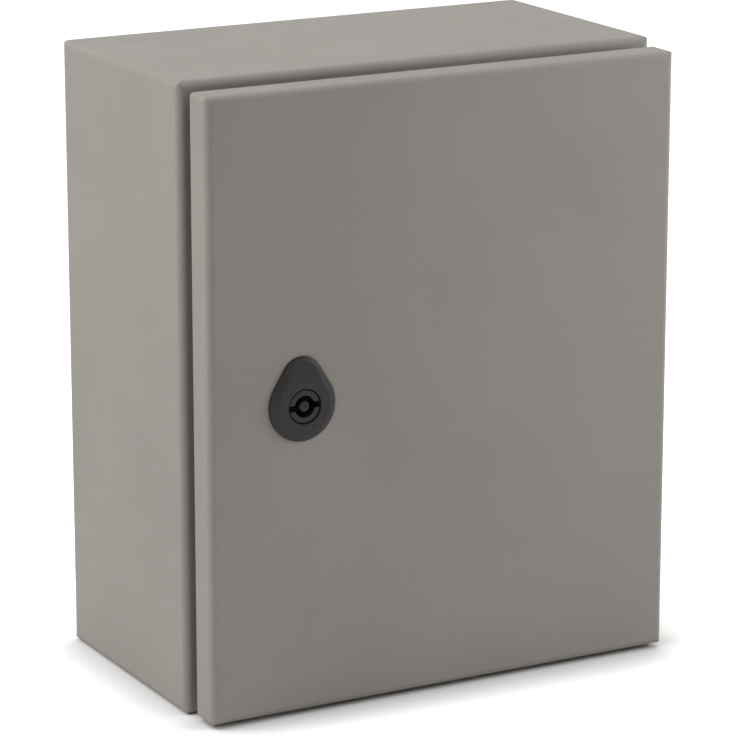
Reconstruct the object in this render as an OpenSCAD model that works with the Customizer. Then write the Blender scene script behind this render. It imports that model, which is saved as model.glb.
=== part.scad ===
// Wall-mounting sheet-steel enclosure with a gasketed door, two concealed hinges and a quarter-turn cam lock.
// Origin: centre of the wall-fixing pattern on the back face. X to the right, Y into the wall, Z up.
// The front faces -Y. At rest the door is closed and its cam stands clear of the rim.

/* [Enclosure] */
// Overall width
box_w = 250; // [240:5:400]
// Overall height
box_h = 300; // [280:5:500]
// Overall depth over the closed door, without the lock
box_depth = 150; // [150:5:250]
// Sheet thickness of body, door and gland plate
sheet = 1.5; // [1.2:0.1:2]
// Outer radius of the four edges that run from front to back
edge_r = 3.5; // [3:0.5:6]
// Outer radius of the bends round the front flange
front_r = 3.5; // [3:0.5:6]
// Outer radius of the bends round the back panel
back_r = 3; // [3:0.5:6]

/* [Sealing lip] */
// Distance from the outside of the body to the outer face of the lip
lip_inset = 24; // [23:0.5:30]
// Radius of the lip's centre line at its corners
lip_corner_r = 8; // [7:0.5:15]
// Inner radius of the bend between front flange and lip
lip_bend_r = 1.5; // [1:0.5:2]
// Clearance between the lip's tip and the floor of the groove in the gasket
lip_tip_gap = 0.4; // [0.3:0.1:1]

/* [Door] */
// Depth of the door pan
door_t = 16; // [16:0.5:20]
// Gap between body and door
door_gap = 8.5; // [8:0.5:10]
// Set-back of the door from the body's sides
door_inset = 2; // [1:0.5:3]
// Set-back of the door from the body's top
door_inset_top = 3.5; // [1:0.5:4]
// Set-back of the door from the body's bottom
door_inset_bottom = 2; // [1:0.5:4]
// Outer radius of the bends round the door's face
door_bend_r = 3.5; // [3:0.5:5]
// Radius of the door's corners, seen from the front
door_corner_r = 2; // [1.6:0.1:4]
// Width of the foamed gasket
gasket_w = 10.5; // [9:0.5:11]
// Height of the foamed gasket
gasket_h = 10; // [8:0.5:11]

/* [Wall fixing] */
// Horizontal spacing of the wall fixings
wall_dx = 180; // [150:5:180]
// Vertical spacing of the wall fixings
wall_dz = 230; // [200:5:230]
// Diameter of the wall-fixing holes
wall_hole_d = 8.5; // [6:0.5:9]

/* [Mounting plate] */
// Width of the mounting plate
plate_w = 190; // [170:5:190]
// Height of the mounting plate
plate_h = 240; // [220:5:240]
// Thickness of the mounting plate
plate_t = 2; // [1.5:0.5:3]
// Distance from the back panel to the mounting plate
plate_offset = 12; // [8:1:20]
// Side of the square notch that clears each wall fixing
plate_notch = 16; // [14:1:18]
// Inner radius of each notch
plate_notch_r = 5; // [2:1:6]
// Horizontal spacing of the plate's studs
plate_stud_dx = 170; // [140:5:170]
// Vertical spacing of the plate's studs
plate_stud_dz = 184; // [150:2:184]

/* [Gland plate] */
// Width of the cable opening in the bottom
gland_w = 150; // [100:5:160]
// Depth of the cable opening in the bottom
gland_d = 60; // [50:5:60]
// Overlap of the gland plate round the opening
gland_lap = 11; // [10:1:12]
// Distance from the back face to the middle of the opening
gland_y = 62; // [60:1:66]
// Thickness of the gland plate's gasket
gland_gasket_t = 2; // [1.5:0.5:3]

/* [Hinges] */
// Height of each hinge's middle above or below the door's middle
hinge_z = 100; // [80:5:110]
// Length of each hinge
hinge_len = 44; // [40:1:50]
// Length of the door leaf's knuckle
hinge_mid = 16; // [14:1:20]
// Diameter of the hinge pin
hinge_pin_d = 4; // [3.5:0.5:4]
// Outer radius of the knuckles
knuckle_r = 3.2; // [3.2:0.1:3.4]
// Thickness of the hinge leaves
leaf_t = 2.2; // [2:0.1:2.4]

/* [Lock] */
// Distance from the door's left edge to the lock's axis
lock_inset = 47; // [46:1:60]
// Radius of the escutcheon about the lock's axis
esc_r = 17; // [16:0.5:19]
// Radius of the escutcheon's upper end
esc_top_r = 10.3; // [9:0.1:12]
// Height of the upper end's centre above the lock's axis
esc_rise = 12.8; // [11:0.1:14]
// Projection of the escutcheon from the door
esc_h = 3.3; // [3:0.1:6]
// Diameter of the lock's threaded neck
neck_d = 22; // [22:0.5:22.5]
// Radius of the lock barrel
barrel_r = 8.3; // [8:0.1:8.5]
// Angle at which the key slot stands when the cam is clear
slot_angle = 4; // [0:1:15]
// Reach of the cam from the lock's axis
cam_reach = 34; // [30:0.5:36]

/* [Hidden] */
$fn = 72;
// Overlap of cutting tools past the faces they cut
cut = 1;

// Depths from the back face (all point towards -Y)
body_d = box_depth - door_t - door_gap;
door_back = body_d + door_gap;
door_inner = box_depth - sheet;

// Door outline
door_w = box_w - 2 * door_inset;
door_h = box_h - door_inset_top - door_inset_bottom;
door_z = (door_inset_bottom - door_inset_top) / 2;
door_side = box_w / 2 - door_inset - sheet;

// Sealing lip, measured to its centre line
lip_x = box_w / 2 - lip_inset - sheet / 2;
lip_z = box_h / 2 - lip_inset - sheet / 2;
lip_bend_c = sheet / 2 + lip_bend_r;
gasket_groove_w = 3;
gasket_groove_d = 1.6;
gasket_round = 2.5;
lip_len = door_inner - gasket_h + gasket_groove_d - lip_tip_gap - body_d;

// Metric fasteners: across flats, nut height, washer diameter and thickness
m4_d = 4;
m4_af = 7;
m4_nut_h = 3.2;
m4_head_d = 7.6;
m5_d = 5;
m5_af = 8;
m5_nut_h = 4;
m6_d = 6;
m6_af = 10;
m6_nut_h = 5;
m6_washer_d = 12;
m6_washer_t = 1.6;
m6_clear_d = 7;
stud_end_chamfer = 0.6;
// Diameter of a nut's bearing face as a share of its width across flats
nut_face = 0.95;
stud_past_nut = 3;
screw_past_nut = 1;
m4_socket_af = 2.5;

// Mounting plate stack
spacer_d = 12;
plate_stud_len = plate_offset + plate_t + m6_washer_t + m6_nut_h + stud_past_nut;

// Gland plate stack
gland_corner_r = 6;
gland_stud_x = gland_w / 2 + gland_lap / 2;
gland_stud_y = gland_d / 2 + gland_lap / 2;
gland_side_y = 22;
gland_clear_d = 5.4;
gland_stud_len = gland_gasket_t + sheet + m5_nut_h + stud_past_nut;
gland_points = [
    for (sx = [-1, 1], sy = [-1, 1]) [sx * gland_stud_x, sy * gland_side_y],
    for (sy = [-1, 1]) [0, sy * gland_stud_y]
];

// Earth studs
earth_len = 16;
earth_washer_t = 1.2;
body_earth_z = -118;
door_earth_x = 60;
door_earth_z = -105;
door_earth_len = 13;

// Hinges
hinge_running = 0.05;
hinge_end_gap = 0.3;
flange_clear = 0.4;
pivot_inside = 3;
pivot_x = door_side - flange_clear - knuckle_r;
pivot_y = door_back + pivot_inside;
body_foot_t = 2.5;
body_foot_from_lip = 7;
body_foot_x = lip_x + sheet / 2 + body_foot_from_lip;
body_foot_w = 13;
body_leaf_bend_r = 3;
door_foot_t = 2;
door_foot_from_gasket = 2;
door_foot_x = lip_x + gasket_w / 2 + door_foot_from_gasket;
door_foot_w = door_side - (door_bend_r - sheet) - flange_clear - door_foot_x;
hinge_hole_inset = 6;
hinge_hole_z = hinge_len / 2 - hinge_hole_inset;
body_screw_inset = 7.2;
body_screw_x = body_foot_x + body_screw_inset;
door_stud_inset = 4.1;
door_stud_x = door_foot_x + door_stud_inset;
pin_head_t = 1.2;
pin_tail = 2.2;
clip_t = 0.8;
clip_groove_r = 1.6;
clip_r = 3.1;
clip_gap = 0.2;
clip_mouth = 2.6;

// Lock, measured from the door's outer face into the box unless named otherwise
lock_x = -door_w / 2 + lock_inset;
esc_rim = 1;
esc_face_r = 13.6;
esc_top_face_r = 8.6;
esc_top_h = 1.9;
barrel_running = 0.05;
barrel_chamfer = 0.9;
barrel_set_back = 0.1;
barrel_len = 18;
spindle_r = 6;
neck_web = 3.3;
neck_flat = 10;
shoulder_gap = 0.2;
neck_len = barrel_len + shoulder_gap + neck_web;
hole_clear = 0.1;
seal_in_r = 12.4;
seal_out_r = 14.6;
seal_t = 1.2;
lock_nut_af = 26;
lock_nut_h = 4;
key_bore_r = 5.2;
key_bore_d = 11;
key_pin_r = 2.5;
key_pin_chamfer = 0.5;
key_dimple_r = 0.6;
key_dimple_d = 0.4;
key_slot_w = 3;
key_slot_l = 15.4;
key_slot_d = 10;
o_ring_r = 0.8;
o_ring_at = 12;
o_ring_groove = 2.2;
cam_t = 3;
cam_square = 8;
cam_play = 0.1;
cam_hole = cam_square + cam_play;
cam_gap = 1;
hub_face = box_depth - body_d + sheet + cam_gap;
cam_hub_r = 9;
cam_w = 14;
cam_screw_d = 5;
cam_screw_len = 13;
cam_screw_head_d = 9;
cam_screw_head_h = 3.2;
cam_screw_taper = 1;
cam_screw_af = 4;
cam_socket_d = 2.1;

// Finishes
paint = [0.66, 0.64, 0.61];
zinc = [0.74, 0.75, 0.76];
galvanised = [0.70, 0.72, 0.73];
foam = [0.13, 0.13, 0.13];
moulding = [0.16, 0.15, 0.15];

// ---------- placing ----------

// Children built along +Z stand out of the back panel towards the door
module on_back(x, z, depth) {
    translate([x, -depth, z]) rotate([90, 0, 0]) children();
}

// Children built along +Z stand out of the door's inside towards the back panel
module on_door(x, z, depth) {
    translate([x, -depth, z]) rotate([-90, 0, 0]) children();
}

module at_corners(dx, dz) {
    for (sx = [-1, 1], sz = [-1, 1]) translate([sx * dx / 2, 0, sz * dz / 2]) children();
}

// Sweeps a profile round a rounded rectangle that faces forward.
// In the profile, X is the distance outwards from the path and Y the distance forward.
module sweep_frame(half_w, half_h, r) {
    rotate([90, 0, 0]) for (side = [0:3]) {
        across = side % 2 == 0 ? half_w : half_h;
        along = side % 2 == 0 ? half_h : half_w;
        rotate(90 * side) {
            translate([across, along - r, 0]) rotate([90, 0, 0]) linear_extrude(2 * (along - r)) children();
            translate([across - r, along - r, 0]) rotate_extrude(angle = 90) translate([r, 0]) children();
        }
    }
}

// ---------- outlines ----------

module round_rect(w, h, r) {
    square([w - 2 * r, h], center = true);
    square([w, h - 2 * r], center = true);
    for (sx = [-1, 1], sy = [-1, 1]) translate([sx * (w / 2 - r), sy * (h / 2 - r)]) circle(r);
}

// Section of a block from back (Y = 0) to front (Y = -d) with round corners
module depth_outline(w, d, r_front, r_back) {
    translate([-w / 2, r_front - d]) square([w, d - r_front - r_back]);
    translate([r_front - w / 2, -d]) square([w - 2 * r_front, d / 2]);
    translate([r_back - w / 2, -d / 2]) square([w - 2 * r_back, d / 2]);
    for (s = [-1, 1]) {
        translate([s * (w / 2 - r_front), r_front - d]) circle(r_front);
        translate([s * (w / 2 - r_back), -r_back]) circle(r_back);
    }
}

// Block with every edge rounded as a folded sheet is
module folded_block(w, h, d, r_edge, r_front, r_back) {
    intersection() {
        translate([0, cut, 0]) rotate([90, 0, 0]) linear_extrude(d + 2 * cut) round_rect(w, h, r_edge);
        translate([0, 0, -h / 2 - cut]) linear_extrude(h + 2 * cut) depth_outline(w, d, r_front, r_back);
        translate([w / 2 + cut, 0, 0]) rotate([0, -90, 0]) linear_extrude(w + 2 * cut)
            depth_outline(h, d, r_front, r_back);
    }
}

// Quarter of a bent sheet about the origin, in the quadrant of positive X and Y
module bend_outline(r_in, t) {
    intersection() {
        difference() {
            circle(r_in + t);
            circle(r_in);
        }
        square(r_in + t + cut);
    }
}

// Flat strip with one end rounded about the origin
module round_end_strip(l, w) {
    translate([0, -w / 2]) square([l - w / 2, w]);
    translate([l - w / 2, 0]) circle(w / 2);
}

// Drop shape: two circles joined by their common tangents
module drop_outline(r_low, r_high, rise) {
    lean = asin((r_low - r_high) / rise);
    circle(r_low);
    translate([0, rise]) circle(r_high);
    polygon([
        [-r_low * cos(lean), r_low * sin(lean)],
        [r_low * cos(lean), r_low * sin(lean)],
        [r_high * cos(lean), rise + r_high * sin(lean)],
        [-r_high * cos(lean), rise + r_high * sin(lean)]
    ]);
}

// Round section with two flats across X
module flatted_outline(r, flat) {
    intersection() {
        circle(r);
        square([2 * flat, 2 * r + cut], center = true);
    }
}

// ---------- fasteners ----------

module ring(r_out, r_in, h) {
    difference() {
        cylinder(r = r_out, h = h);
        translate([0, 0, -cut]) cylinder(r = r_in, h = h + 2 * cut);
    }
}

module washer(d_out, d_in, t) {
    ring(d_out / 2, d_in / 2, t);
}

// Hexagon nut, chamfered at 30 degrees on both faces
module hex_nut(af, h, bore) {
    face = nut_face * af / 2;
    rim = face + h / 2 / tan(30);
    difference() {
        intersection() {
            cylinder(r = af / cos(30) / 2, h = h, $fn = 6);
            rotate_extrude() polygon([[0, 0], [face, 0], [rim, h / 2], [face, h], [0, h]]);
        }
        translate([0, 0, -cut]) cylinder(d = bore, h = h + 2 * cut);
    }
}

// Welded stud with a chamfered end
module stud(d, l) {
    cylinder(d = d, h = l - stud_end_chamfer);
    translate([0, 0, l - stud_end_chamfer])
        cylinder(d1 = d, d2 = d - 2 * stud_end_chamfer, h = stud_end_chamfer);
}

// ---------- enclosure body ----------

// Section of the sealing lip with its bend out of the front flange
module lip_outline() {
    translate([-sheet / 2, lip_bend_r]) square([sheet, lip_len - lip_bend_r]);
    translate([lip_bend_c, lip_bend_r]) rotate(180) bend_outline(lip_bend_r, sheet);
}

module enclosure_body() color(paint) difference() {
    union() {
        difference() {
            folded_block(box_w, box_h, body_d, edge_r, front_r, back_r);
            translate([0, -sheet, 0]) folded_block(
                box_w - 2 * sheet, box_h - 2 * sheet, body_d - 2 * sheet,
                edge_r - sheet, front_r - sheet, back_r - sheet
            );
            translate([0, sheet + cut - body_d, 0]) rotate([90, 0, 0]) linear_extrude(sheet + 2 * cut)
                round_rect(2 * (lip_x + lip_bend_c), 2 * (lip_z + lip_bend_c), lip_corner_r + lip_bend_c);
        }
        translate([0, -body_d, 0]) sweep_frame(lip_x, lip_z, lip_corner_r) lip_outline();
    }
    at_corners(wall_dx, wall_dz) rotate([90, 0, 0]) translate([0, 0, -cut])
        cylinder(d = wall_hole_d, h = sheet + 2 * cut);
    translate([0, -gland_y, -box_h / 2 - cut]) linear_extrude(sheet + 2 * cut)
        round_rect(gland_w, gland_d, gland_corner_r);
    for (hz = [-1, 1], sz = [-1, 1])
        translate([body_screw_x, sheet + cut - body_d, door_z + hz * hinge_z + sz * hinge_hole_z])
            rotate([90, 0, 0]) cylinder(d = m4_d, h = sheet + 2 * cut);
}

// ---------- mounting plate ----------

module mounting_plate() color(galvanised) on_back(0, 0, sheet + plate_offset) difference() {
    linear_extrude(plate_t) difference() {
        square([plate_w, plate_h], center = true);
        for (sx = [-1, 1], sz = [-1, 1]) translate([sx * plate_w / 2, sz * plate_h / 2])
            round_rect(2 * plate_notch, 2 * plate_notch, plate_notch_r);
    }
    for (sx = [-1, 1], sz = [-1, 1]) translate([sx * plate_stud_dx / 2, sz * plate_stud_dz / 2, -cut])
        cylinder(d = m6_clear_d, h = plate_t + 2 * cut);
}

module plate_studs() color(zinc) at_corners(plate_stud_dx, plate_stud_dz)
    on_back(0, 0, sheet) stud(m6_d, plate_stud_len);

module plate_spacers() color(zinc) at_corners(plate_stud_dx, plate_stud_dz)
    on_back(0, 0, sheet) ring(spacer_d / 2, m6_d / 2, plate_offset);

module plate_washers() color(zinc) at_corners(plate_stud_dx, plate_stud_dz)
    on_back(0, 0, sheet + plate_offset + plate_t) washer(m6_washer_d, m6_d, m6_washer_t);

module plate_nuts() color(zinc) at_corners(plate_stud_dx, plate_stud_dz)
    on_back(0, 0, sheet + plate_offset + plate_t + m6_washer_t) hex_nut(m6_af, m6_nut_h, m6_d);

// ---------- gland plate in the bottom ----------

module at_gland_studs(height) {
    for (p = gland_points) translate([p[0], p[1] - gland_y, sheet - box_h / 2 + height]) children();
}

module gland_outline() {
    round_rect(gland_w + 2 * gland_lap, gland_d + 2 * gland_lap, gland_corner_r);
}

module gland_gasket() color(foam) difference() {
    translate([0, -gland_y, sheet - box_h / 2]) linear_extrude(gland_gasket_t) difference() {
        gland_outline();
        round_rect(gland_w, gland_d, gland_corner_r);
    }
    at_gland_studs(-cut) cylinder(d = m5_d, h = gland_gasket_t + 2 * cut);
}

module gland_plate() color(paint) difference() {
    translate([0, -gland_y, sheet - box_h / 2 + gland_gasket_t]) linear_extrude(sheet) gland_outline();
    at_gland_studs(gland_gasket_t - cut) cylinder(d = gland_clear_d, h = sheet + 2 * cut);
}

module gland_studs() color(zinc) at_gland_studs(0) stud(m5_d, gland_stud_len);

module gland_nuts() color(zinc) at_gland_studs(gland_gasket_t + sheet) hex_nut(m5_af, m5_nut_h, m5_d);

// ---------- earth studs ----------

module at_body_earth(height) {
    translate([sheet + height - box_w / 2, -body_d / 2, body_earth_z]) rotate([0, 90, 0]) children();
}

module body_earth_stud() color(zinc) at_body_earth(0) stud(m6_d, earth_len);
module body_earth_washer() color(zinc) at_body_earth(0) washer(m6_washer_d, m6_d, earth_washer_t);
module body_earth_nut() color(zinc) at_body_earth(earth_washer_t) hex_nut(m6_af, m6_nut_h, m6_d);

module at_door_earth(height) {
    on_door(door_earth_x, door_earth_z, door_inner - height) children();
}

module door_earth_stud() color(zinc) at_door_earth(0) stud(m6_d, door_earth_len);
module door_earth_washer() color(zinc) at_door_earth(0) washer(m6_washer_d, m6_d, earth_washer_t);
module door_earth_nut() color(zinc) at_door_earth(earth_washer_t) hex_nut(m6_af, m6_nut_h, m6_d);

// ---------- hinges ----------

// Section of the leaf on the body: foot on the front flange, web forward, strap to the knuckle
module body_leaf_outline() {
    strap_y = -pivot_y - knuckle_r;
    difference() {
        union() {
            translate([body_foot_x, -body_d - body_foot_t]) square([body_foot_w, body_foot_t]);
            translate([body_foot_x, strap_y + body_leaf_bend_r])
                square([leaf_t, -body_d - strap_y - body_leaf_bend_r]);
            translate([body_foot_x + body_leaf_bend_r, strap_y])
                square([pivot_x - body_foot_x - body_leaf_bend_r, leaf_t]);
            translate([body_foot_x + body_leaf_bend_r, strap_y + body_leaf_bend_r]) rotate(180)
                bend_outline(body_leaf_bend_r - leaf_t, leaf_t);
            translate([pivot_x, -pivot_y]) circle(knuckle_r);
        }
        translate([pivot_x, -pivot_y]) circle(hinge_pin_d / 2 + hinge_running);
    }
}

// Section of the leaf on the door: foot on the door's inside, web back to the knuckle
module door_leaf_outline() {
    difference() {
        union() {
            translate([door_foot_x, -door_inner]) square([door_foot_w, door_foot_t]);
            translate([pivot_x - knuckle_r, -door_inner]) square([leaf_t, door_inner - pivot_y]);
            translate([pivot_x, -pivot_y]) circle(knuckle_r);
        }
        translate([pivot_x, -pivot_y]) circle(hinge_pin_d / 2 + hinge_running);
    }
}

module hinge_body_leaf() color(zinc) difference() {
    translate([0, 0, -hinge_len / 2]) linear_extrude(hinge_len) body_leaf_outline();
    translate([body_foot_x - cut, -box_depth, -hinge_mid / 2 - hinge_end_gap])
        cube([box_w, box_depth - body_d - body_foot_t, hinge_mid + 2 * hinge_end_gap]);
    for (sz = [-1, 1]) translate([body_screw_x, -body_d, sz * hinge_hole_z]) rotate([90, 0, 0]) {
        translate([0, 0, -cut]) cylinder(d = m4_d, h = body_foot_t + 2 * cut);
        translate([0, 0, body_foot_t - (m4_head_d - m4_d) / 2])
            cylinder(d1 = m4_d, d2 = m4_head_d, h = (m4_head_d - m4_d) / 2);
    }
}

module hinge_body_leaf_upper() translate([0, 0, door_z + hinge_z]) hinge_body_leaf();
module hinge_body_leaf_lower() translate([0, 0, door_z - hinge_z]) hinge_body_leaf();

module hinge_door_leaf() color(zinc) difference() {
    translate([0, 0, -hinge_len / 2]) linear_extrude(hinge_len) door_leaf_outline();
    for (end = [hinge_mid / 2, -hinge_len / 2 - cut])
        translate([door_foot_x - cut, door_foot_t - door_inner, end])
            cube([box_w, box_depth, (hinge_len - hinge_mid) / 2 + cut]);
    for (sz = [-1, 1]) translate([door_stud_x, -door_inner - cut, sz * hinge_hole_z])
        rotate([-90, 0, 0]) cylinder(d = m4_d, h = door_foot_t + 2 * cut);
}

module hinge_door_leaf_upper() translate([0, 0, door_z + hinge_z]) hinge_door_leaf();
module hinge_door_leaf_lower() translate([0, 0, door_z - hinge_z]) hinge_door_leaf();

module at_hinge_holes(x) {
    for (hz = [-1, 1], sz = [-1, 1]) translate([x, 0, door_z + hz * hinge_z + sz * hinge_hole_z]) children();
}

// Countersunk screws through body leaf and flange, with a hexagon socket
module hinge_screws() color(zinc) at_hinge_holes(body_screw_x)
    translate([0, screw_past_nut + m4_nut_h + sheet - body_d, 0]) rotate([90, 0, 0]) difference() {
        shank = screw_past_nut + m4_nut_h + sheet + body_foot_t;
        head = (m4_head_d - m4_d) / 2;
        union() {
            cylinder(d = m4_d, h = shank);
            translate([0, 0, shank - head]) cylinder(d1 = m4_d, d2 = m4_head_d, h = head);
        }
        translate([0, 0, shank - head]) cylinder(d = m4_socket_af / cos(30), h = head + cut, $fn = 6);
    }

module hinge_screw_nuts() color(zinc) at_hinge_holes(body_screw_x)
    translate([0, m4_nut_h + sheet - body_d, 0]) rotate([90, 0, 0]) hex_nut(m4_af, m4_nut_h, m4_d);

module hinge_door_studs() color(zinc) at_hinge_holes(door_stud_x)
    on_door(0, 0, door_inner) stud(m4_d, door_foot_t + m4_nut_h + screw_past_nut);

module hinge_door_nuts() color(zinc) at_hinge_holes(door_stud_x)
    on_door(0, 0, door_inner - door_foot_t) hex_nut(m4_af, m4_nut_h, m4_d);

module at_hinge_axes() {
    for (hz = [-1, 1]) translate([pivot_x, -pivot_y, door_z + hz * hinge_z]) children();
}

// Pin with a head on top and a groove for its clip below
module hinge_pins() color(zinc) at_hinge_axes() difference() {
    union() {
        translate([0, 0, -hinge_len / 2 - pin_tail]) cylinder(d = hinge_pin_d, h = hinge_len + pin_tail);
        translate([0, 0, hinge_len / 2]) cylinder(r = knuckle_r - clip_gap, h = pin_head_t);
    }
    translate([0, 0, -hinge_len / 2 - clip_gap - clip_t]) ring(hinge_pin_d, clip_groove_r, clip_t);
}

// Snap clip, open towards the box
module hinge_pin_clips() color(zinc) at_hinge_axes()
    translate([0, 0, -hinge_len / 2 - clip_gap - clip_t]) linear_extrude(clip_t) difference() {
        circle(clip_r);
        circle(clip_groove_r);
        translate([-clip_r - cut, -clip_mouth / 2]) square([clip_r + cut, clip_mouth]);
    }

// ---------- door ----------

// Front half of a folded block: face at Y = -d, cut off square at Y = 0
module pan_block(w, h, d, r_edge, r_bend) {
    intersection() {
        translate([0, d, 0]) folded_block(w, h, 2 * d, r_edge, r_bend, r_bend);
        translate([-w / 2 - cut, -d - cut, -h / 2 - cut]) cube([w + 2 * cut, d + cut, h + 2 * cut]);
    }
}

module door_panel() color(paint) difference() {
    translate([0, door_t - box_depth, door_z])
        pan_block(door_w, door_h, door_t, door_corner_r, door_bend_r);
    translate([0, door_t - box_depth + sheet, door_z])
        pan_block(door_w - 2 * sheet, door_h - 2 * sheet, door_t, door_corner_r - sheet, door_bend_r - sheet);
    on_door(lock_x, 0, box_depth + cut) linear_extrude(sheet + 2 * cut)
        flatted_outline(neck_d / 2 + hole_clear, neck_flat + hole_clear);
}

// Section of the foamed gasket: rounded shoulders and the groove pressed by the lip
module gasket_outline() {
    difference() {
        union() {
            translate([-gasket_w / 2, gasket_round]) square([gasket_w, gasket_h - gasket_round]);
            translate([gasket_round - gasket_w / 2, 0]) square([gasket_w - 2 * gasket_round, gasket_h]);
            for (s = [-1, 1]) translate([s * (gasket_w / 2 - gasket_round), gasket_round])
                circle(gasket_round);
        }
        translate([-gasket_groove_w / 2, -cut]) square([gasket_groove_w, gasket_groove_d + cut]);
    }
}

module door_gasket() color(foam) translate([0, gasket_h - door_inner, 0])
    sweep_frame(lip_x, lip_z, lip_corner_r) gasket_outline();

// ---------- lock ----------

// Drop-shaped escutcheon with sloping flanks, and the threaded neck with two flats
module lock_housing() color(moulding) difference() {
    union() {
        on_back(lock_x, 0, box_depth) hull() {
            linear_extrude(esc_rim) drop_outline(esc_r, esc_top_r, esc_rise);
            cylinder(r = esc_face_r, h = esc_h);
            translate([0, esc_rise, 0]) cylinder(r = esc_top_face_r, h = esc_top_h);
        }
        on_door(lock_x, 0, box_depth + esc_rim) linear_extrude(esc_rim + neck_len)
            flatted_outline(neck_d / 2, neck_flat);
    }
    on_door(lock_x, 0, box_depth + esc_h + cut)
        cylinder(r = barrel_r + barrel_running, h = esc_h + cut + barrel_len + shoulder_gap);
    on_door(lock_x, 0, box_depth) cylinder(r = spindle_r + barrel_running, h = neck_len + cut);
    on_back(lock_x, 0, box_depth - cut) ring(seal_out_r, seal_in_r, seal_t + cut);
}

module lock_seal() color(foam) on_back(lock_x, 0, box_depth) ring(seal_out_r, seal_in_r, seal_t);

module lock_nut() color(zinc) on_door(lock_x, 0, door_inner) hex_nut(lock_nut_af, lock_nut_h, neck_d);

// Barrel with its annular key opening, centre pin and two bit slots; shoulder, spindle and square behind
module lock_barrel() color(moulding) on_door(lock_x, 0, box_depth) {
    face = barrel_set_back - esc_h;
    difference() {
        union() {
            translate([0, 0, face])
                cylinder(r1 = barrel_r - barrel_chamfer, r2 = barrel_r, h = barrel_chamfer);
            translate([0, 0, face + barrel_chamfer])
                cylinder(r = barrel_r, h = barrel_len - face - barrel_chamfer);
            translate([0, 0, barrel_len]) cylinder(r = spindle_r, h = hub_face - barrel_len);
            translate([-cam_square / 2, -cam_square / 2, hub_face]) cube([cam_square, cam_square, cam_t]);
        }
        translate([0, 0, face - cut]) cylinder(r = key_bore_r, h = key_bore_d + cut);
        translate([0, 0, face - cut]) rotate(-slot_angle) linear_extrude(key_slot_d + cut)
            square([key_slot_l, key_slot_w], center = true);
        translate([0, 0, o_ring_at - o_ring_groove / 2])
            ring(barrel_r + cut, barrel_r - 2 * o_ring_r, o_ring_groove);
        translate([0, 0, hub_face + cam_t - cam_screw_len])
            cylinder(d = cam_screw_d, h = cam_screw_len + cut);
    }
    difference() {
        union() {
            translate([0, 0, face])
                cylinder(r1 = key_pin_r - key_pin_chamfer, r2 = key_pin_r, h = key_pin_chamfer);
            translate([0, 0, face + key_pin_chamfer])
                cylinder(r = key_pin_r, h = key_bore_d - key_pin_chamfer);
        }
        translate([0, 0, face - cut]) cylinder(r = key_dimple_r, h = key_dimple_d + cut);
    }
}

module barrel_o_ring() color(foam) on_door(lock_x, 0, box_depth - o_ring_at)
    rotate_extrude() translate([barrel_r - o_ring_r, 0]) circle(o_ring_r);

// Flat cam, pointing down when it is clear of the rim
module lock_cam() color(zinc) on_door(lock_x, 0, box_depth - hub_face) difference() {
    linear_extrude(cam_t) {
        circle(cam_hub_r);
        rotate(90) round_end_strip(cam_reach, cam_w);
    }
    translate([-cam_hole / 2, -cam_hole / 2, -cut]) cube([cam_hole, cam_hole, cam_t + 2 * cut]);
}

// Pan-head screw with a hexagon socket
module lock_cam_screw() color(zinc) on_door(lock_x, 0, box_depth - hub_face - cam_t) difference() {
    union() {
        translate([0, 0, -cam_screw_len]) cylinder(d = cam_screw_d, h = cam_screw_len);
        cylinder(d1 = cam_screw_head_d, d2 = cam_screw_head_d - cam_screw_taper, h = cam_screw_head_h);
    }
    translate([0, 0, cam_screw_head_h - cam_socket_d])
        cylinder(d = cam_screw_af / cos(30), h = cam_socket_d + cut, $fn = 6);
}

enclosure_body();
body_earth_stud();
body_earth_washer();
body_earth_nut();
mounting_plate();
plate_studs();
plate_spacers();
plate_washers();
plate_nuts();
gland_plate();
gland_gasket();
gland_studs();
gland_nuts();
hinge_body_leaf_upper();
hinge_body_leaf_lower();
hinge_screws();
hinge_screw_nuts();
hinge_pins();
hinge_pin_clips();
door_panel();
door_gasket();
hinge_door_leaf_upper();
hinge_door_leaf_lower();
hinge_door_studs();
hinge_door_nuts();
door_earth_stud();
door_earth_washer();
door_earth_nut();
lock_housing();
lock_seal();
lock_nut();
lock_barrel();
barrel_o_ring();
lock_cam();
lock_cam_screw();
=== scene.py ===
import math

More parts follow.
